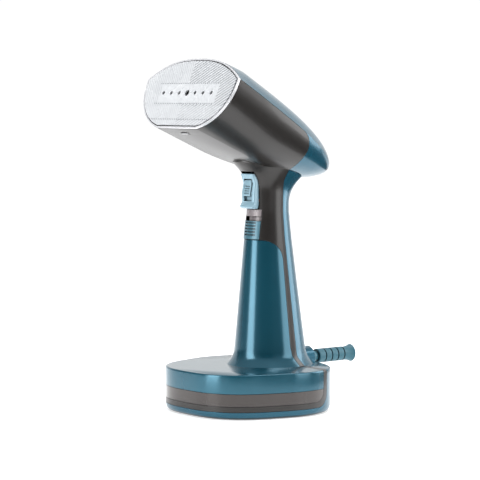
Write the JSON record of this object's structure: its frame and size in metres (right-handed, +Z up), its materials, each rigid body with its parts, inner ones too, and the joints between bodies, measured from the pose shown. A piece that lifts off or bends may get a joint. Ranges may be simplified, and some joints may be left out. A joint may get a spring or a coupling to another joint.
{
  "type": "handheld garment steamer",
  "caption": "Upright handheld garment steamer with tilted oval steam head, slotted trigger grip and a removable water tank that forms the wide standing base",
  "frame": {"origin": "on the floor plane under the handle, on the flat bottom of the base shoe", "axes": "+X to the steamer's left side as it faces -Y, symmetric about X = 0; -Y is the front, where the steam plate faces; +Z is up"},
  "size_m": [0.1408, 0.195, 0.3028],
  "materials": {
    "bronze_gloss": "dark bronze metallic gloss",
    "teal_gloss": "teal blue metallic gloss",
    "latch_blue": "mid blue satin",
    "tank_blue": "translucent blue, gloss",
    "tank_bronze": "smoky bronze, gloss",
    "ice_blue": "pale blue satin",
    "grip_teal": "soft teal",
    "panel_grey": "pinkish grey gloss",
    "face_white": "white coated, fine hatched lines",
    "fuse_white": "white ceramic",
    "silver": "bright silver",
    "cast_aluminium": "as cast",
    "steel": "drawn steel",
    "copper": "enamelled copper winding",
    "black_plastic": "black moulded",
    "silicone": "pale silicone",
    "foot_rubber": "black matt",
    "board_green": "green solder mask",
    "lens": "amber lens",
    "switch_red": "red moulded",
    "mica": "mica board",
    "wire_brown": "brown insulation",
    "wire_blue": "blue insulation",
    "capacitor_blue": "blue sleeve"
  },
  "bodies": {
    "housing": {"base_shoe": "teal_gloss", "bezel_ring": "silver", "board_capacitor": "capacitor_blue", "board_relay": "black_plastic", "catch_pin": "silver", "chamber_cover": "cast_aluminium", "control_board": "board_green", "coupling_seal": "silicone", "front_panel": "panel_grey", "heat_shield": "mica", "heating_element": "steel", "indicator_lens": "lens", "inlet_hose": "silicone", "latch_spring": "steel", "lead_left": "wire_brown", "lead_right": "wire_blue", "main_housing": "bronze_gloss", "microswitch": "black_plastic", "outlet_hose": "silicone", "plate_gasket": "silicone", "power_switch": "black_plastic", "pump_body": "black_plastic", "pump_coil": "copper", "pump_frame": "steel", "rear_shell": "teal_gloss", "rubber_foot_0": "foot_rubber", "rubber_foot_1": "foot_rubber", "rubber_foot_2": "foot_rubber", "rubber_foot_3": "foot_rubber", "shoe_screw_0": "steel", "shoe_screw_1": "steel", "steam_chamber": "cast_aluminium", "steam_plate": "face_white", "tank_coupling": "black_plastic", "thermal_fuse": "fuse_white", "thermostat": "black_plastic", "top_cover": "teal_gloss", "trigger_pin": "steel", "trigger_spring": "steel"},
    "tank": {"tank_upper_shell": "tank_blue", "tank_lower_shell": "tank_bronze", "tank_valve": "black_plastic", "filler_plug": "silicone"},
    "latch": {"tank_latch": "latch_blue"},
    "trigger": {"trigger": "ice_blue"},
    "trigger_lock": {"trigger_lock": "ice_blue"},
    "switch_button": {"switch_button": "switch_red"},
    "power_button": {"power_button": "ice_blue"},
    "cord_guard": {"cord_guard": "grip_teal"},
    "pump_piston": {"pump_piston": "steel"}
  },
  "joints": [
    {"name": "tank_slide", "type": "slide", "parent": "housing", "child": "tank", "axis": [0, -1, 0], "range_m": [0, 0.16]},
    {"name": "latch_slide", "type": "slide", "parent": "housing", "child": "latch", "axis": [0, 0, 1], "range_m": [0, 0.0035], "stiffness_N_per_m": 400, "springref_m": -0.0015, "deforming": ["latch_spring"]},
    {"name": "trigger_press", "type": "hinge", "parent": "housing", "child": "trigger", "pos_m": [0, -0.0035, 0.198], "axis": [1, 0, 0], "range_deg": [0, 5], "stiffness_Nm_per_rad": 0.15, "springref_deg": -3.44},
    {"name": "trigger_lock_slide", "type": "slide", "parent": "trigger", "child": "trigger_lock", "axis": [0, 0, -1], "range_m": [0, 0.0035]},
    {"name": "switch_button_press", "type": "slide", "parent": "housing", "child": "switch_button", "axis": [0, 1, 0], "range_m": [0, 0.0015]},
    {"name": "power_button_press", "type": "slide", "parent": "housing", "child": "power_button", "axis": [0, -1, 0], "range_m": [0, 0.0012], "stiffness_N_per_m": 800, "springref_m": -0.0004},
    {"name": "cord_guard_swivel", "type": "hinge", "parent": "housing", "child": "cord_guard", "pos_m": [0, 0.061, 0.04], "axis": [0, 0, 1], "range_deg": [-20, 20]},
    {"name": "pump_stroke", "type": "slide", "parent": "housing", "child": "pump_piston", "axis": [0, 0.9171, -0.3987], "range_m": [0, 0.002], "stiffness_N_per_m": 500}
  ],
  "couplings": [
    {"joint": "switch_button_press", "follows": "trigger_press", "m_per_rad": 0.017}
  ]
}
